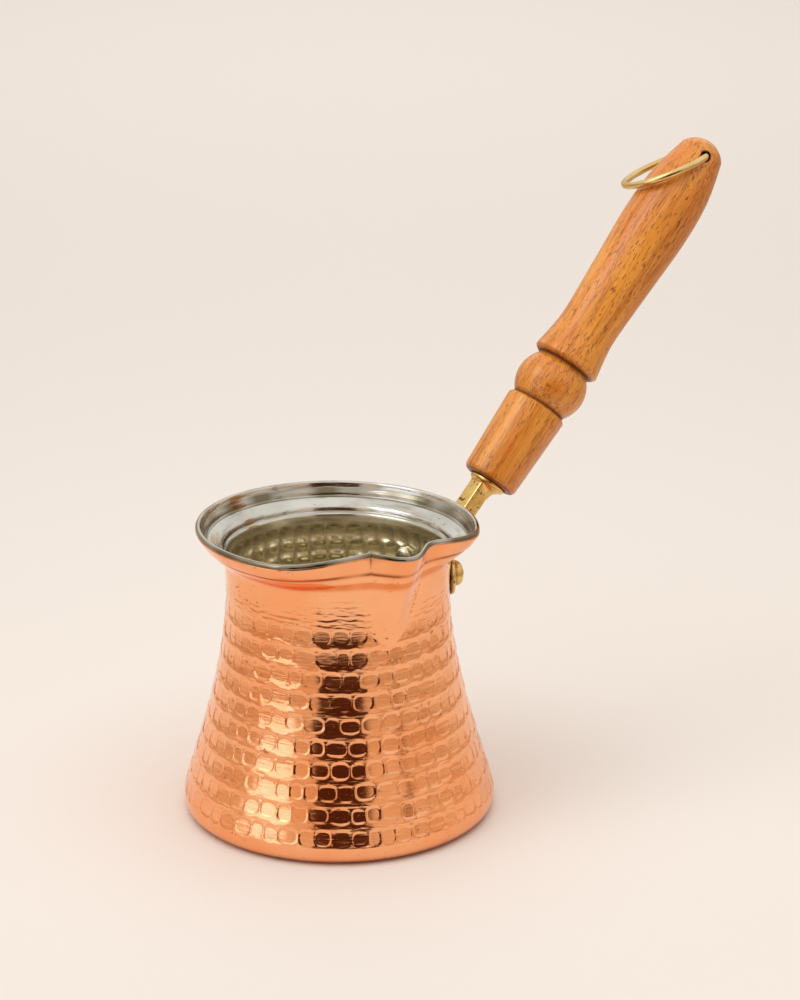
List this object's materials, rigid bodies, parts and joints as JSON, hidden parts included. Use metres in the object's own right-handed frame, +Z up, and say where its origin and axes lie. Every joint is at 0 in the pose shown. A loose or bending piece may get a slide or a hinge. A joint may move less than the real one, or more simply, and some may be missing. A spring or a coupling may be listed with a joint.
{
  "type": "copper coffee pot",
  "caption": "Hammered copper cezve: tinned inside, narrow neck, pinched pouring spout, brass bracket, turned wooden handle leaning up and out, and a brass hanging ring.",
  "frame": {"origin": "centre of the flat base, on the surface that the pot stands on", "axes": "+Z up, the handle leans out along +X, the spout faces -Y"},
  "size_m": [0.2052, 0.103, 0.2071],
  "materials": {
    "copper": "hammered and polished copper",
    "tin": "wiped tin, slightly dulled",
    "cast_brass": "cast and polished",
    "steel": "plain",
    "wood": "varnished, glossy",
    "brass_wire": "drawn, polished"
  },
  "bodies": {
    "cezve": {"pot_body": "copper", "tin_lining": "tin", "handle_bracket": "cast_brass", "rivet_spout_side": "cast_brass", "rivet_far_side": "cast_brass", "handle_stud": "steel", "wood_handle": "wood"},
    "ring": {"hanging_ring": "brass_wire"}
  },
  "joints": [
    {"name": "ring_swing", "type": "hinge", "parent": "cezve", "child": "ring", "pos_m": [0.14782, 0, 0.20138], "axis": [0.5062, 0.8568, -0.0986], "range_deg": [-2, 295]}
  ]
}
